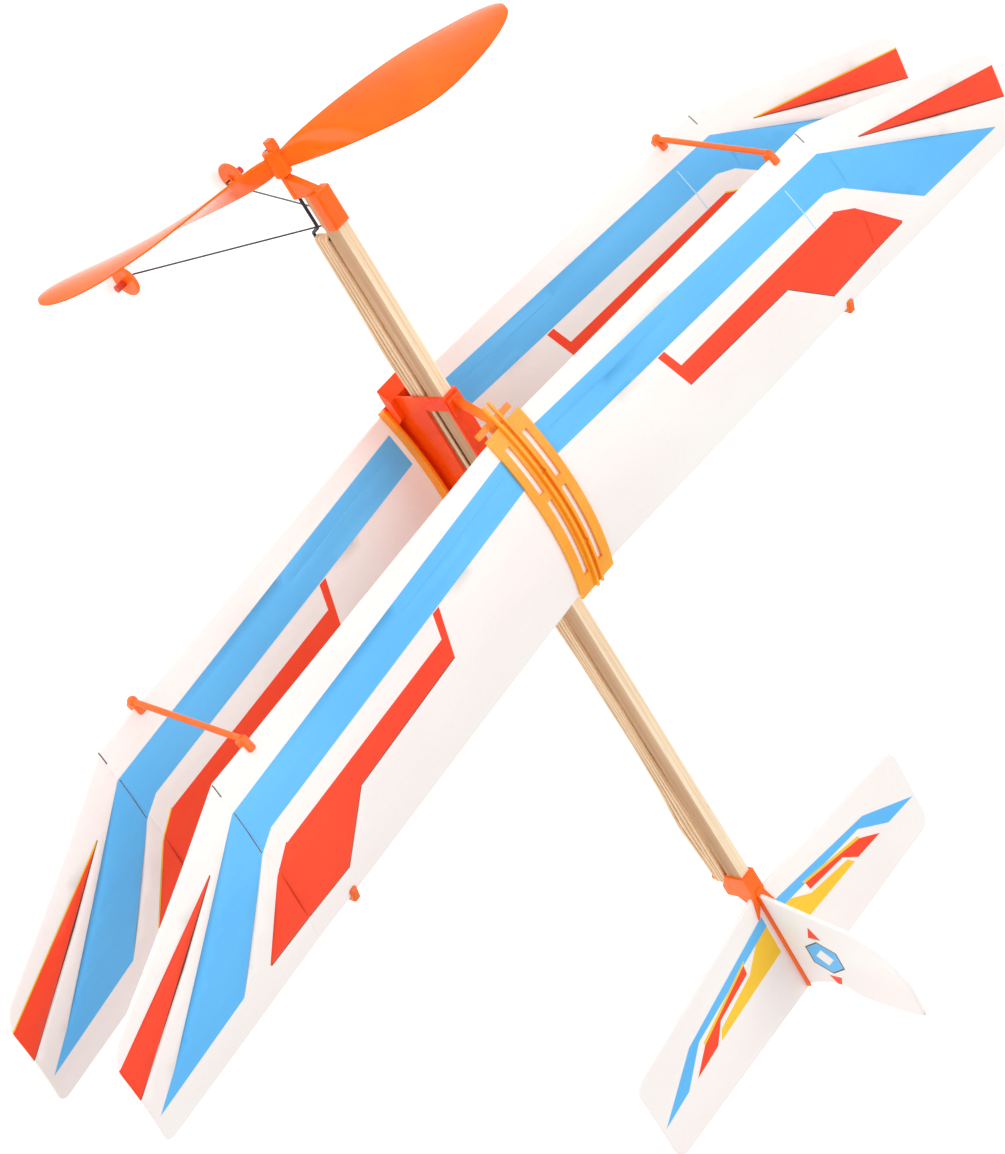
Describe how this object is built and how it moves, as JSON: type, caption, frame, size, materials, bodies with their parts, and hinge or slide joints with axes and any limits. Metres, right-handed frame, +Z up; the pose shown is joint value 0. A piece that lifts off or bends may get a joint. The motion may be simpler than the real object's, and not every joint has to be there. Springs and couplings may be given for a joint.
{
  "type": "rubber band plane",
  "caption": "Toy biplane with foam wings on a wooden stick, a propeller on a hooked wire shaft turned by a twisted rubber motor, wire landing gear and small wheels.",
  "frame": {"origin": "bottom centre of the whole aeroplane's box, level with the underside of the wheels", "axes": "+Z up, the nose points to -Y, +X is the aeroplane's left side; the stick is level"},
  "size_m": [0.4238, 0.3356, 0.1261],
  "materials": {
    "wood": "plain sanded softwood",
    "orange_plastic": "gloss",
    "red_plastic": "gloss",
    "steel_wire": "drawn wire",
    "rubber": "matt",
    "printed_foam": "printed foam sheet"
  },
  "bodies": {
    "frame": {"fuselage_stick": "wood", "nose_bearing": "orange_plastic", "landing_gear_wire": "steel_wire", "tail_mount": "orange_plastic", "stabiliser": "printed_foam", "fin": "printed_foam", "rubber_band": "rubber"},
    "propeller": {"propeller": "orange_plastic", "prop_shaft": "steel_wire"},
    "wheel_left": {"wheel_left": "red_plastic"},
    "wheel_right": {"wheel_right": "red_plastic"},
    "wing_cell": {"wing_mount": "orange_plastic", "lower_wing": "printed_foam", "lower_wing_plate": "orange_plastic", "cabane_frame": "orange_plastic", "upper_wing": "printed_foam", "upper_wing_plate": "orange_plastic", "strut_front_left": "orange_plastic", "strut_front_right": "orange_plastic", "strut_rear_left": "orange_plastic", "strut_rear_right": "orange_plastic"}
  },
  "joints": [
    {"name": "prop_spin", "type": "hinge", "parent": "frame", "child": "propeller", "pos_m": [0, -0.15195, 0.0686], "axis": [0, 1, 0], "continuous": true, "deforming": ["rubber_band"]},
    {"name": "wheel_left_spin", "type": "hinge", "parent": "frame", "child": "wheel_left", "pos_m": [0.0242, -0.13995, 0.005], "axis": [1, 0, 0], "continuous": true},
    {"name": "wheel_right_spin", "type": "hinge", "parent": "frame", "child": "wheel_right", "pos_m": [-0.0242, -0.13995, 0.005], "axis": [1, 0, 0], "continuous": true},
    {"name": "wing_trim", "type": "slide", "parent": "frame", "child": "wing_cell", "axis": [0, 1, 0], "range_m": [-0.015, 0.015]}
  ]
}
